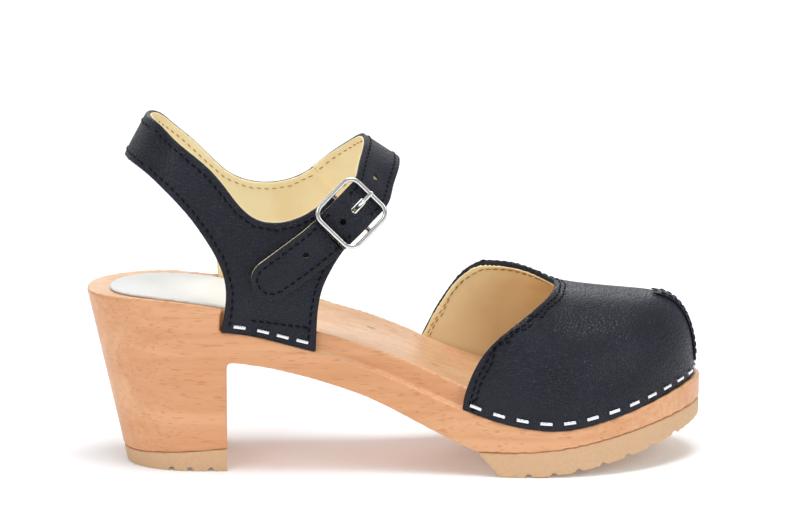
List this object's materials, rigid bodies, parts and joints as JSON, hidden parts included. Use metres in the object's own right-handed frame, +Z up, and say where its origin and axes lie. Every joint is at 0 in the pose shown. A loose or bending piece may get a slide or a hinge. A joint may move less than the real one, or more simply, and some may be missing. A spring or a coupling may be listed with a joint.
{
  "type": "heeled wooden clog sandal",
  "caption": "Right-foot clog sandal: block-heeled wooden sole with stapled leather toe box, leather ankle wrap and a buckled instep strap.",
  "frame": {"origin": "middle of the shoe's footprint box, on the floor", "axes": "+X towards the toe, +Y towards the inner side of the right foot, +Z up"},
  "size_m": [0.2391, 0.0884, 0.1358],
  "materials": {
    "wood": "oiled, fine grained",
    "rubber": "matte tan",
    "leather": "pebbled, soft sheen",
    "ankle_lining": "smooth matte",
    "vamp_lining": "smooth matte",
    "pad_fabric": "smooth matte",
    "staple_steel": "bright zinc plated",
    "nail_steel": "plain",
    "nickel": "polished"
  },
  "bodies": {
    "root": {"wooden_sole": "wood", "heel_top_lift": "rubber", "heel_nails": "nail_steel", "forefoot_tread": "rubber", "heel_pad": "pad_fabric", "vamp_leather": "leather", "vamp_lining": "vamp_lining", "toe_seam_strip": "leather", "ankle_leather": "leather", "ankle_lining": "ankle_lining", "vamp_staples": "staple_steel", "outer_quarter_staples": "staple_steel", "inner_quarter_staples": "staple_steel", "buckle_loop": "leather", "instep_strap": "leather", "instep_strap_lining": "ankle_lining"},
    "strap_tail_body": {"strap_tail": "leather", "strap_tail_lining": "ankle_lining"},
    "buckle_body": {"buckle_frame": "nickel"},
    "prong_body": {"buckle_prong": "nickel"}
  },
  "joints": [
    {"name": "tail_lift", "type": "hinge", "parent": "root", "child": "strap_tail_body", "pos_m": [-0.02664, -0.03369, 0.09375], "axis": [-0.7129, 0.1086, 0.6928], "range_deg": [0, 40]},
    {"name": "buckle_rock", "type": "hinge", "parent": "root", "child": "buckle_body", "pos_m": [-0.01824, -0.03134, 0.10203], "axis": [0.7129, -0.1086, -0.6928], "range_deg": [-1.5, 1.5]},
    {"name": "prong_lift", "type": "hinge", "parent": "buckle_body", "child": "prong_body", "pos_m": [-0.01824, -0.03134, 0.10203], "axis": [0.7129, -0.1086, -0.6928], "range_deg": [0, 10]}
  ]
}
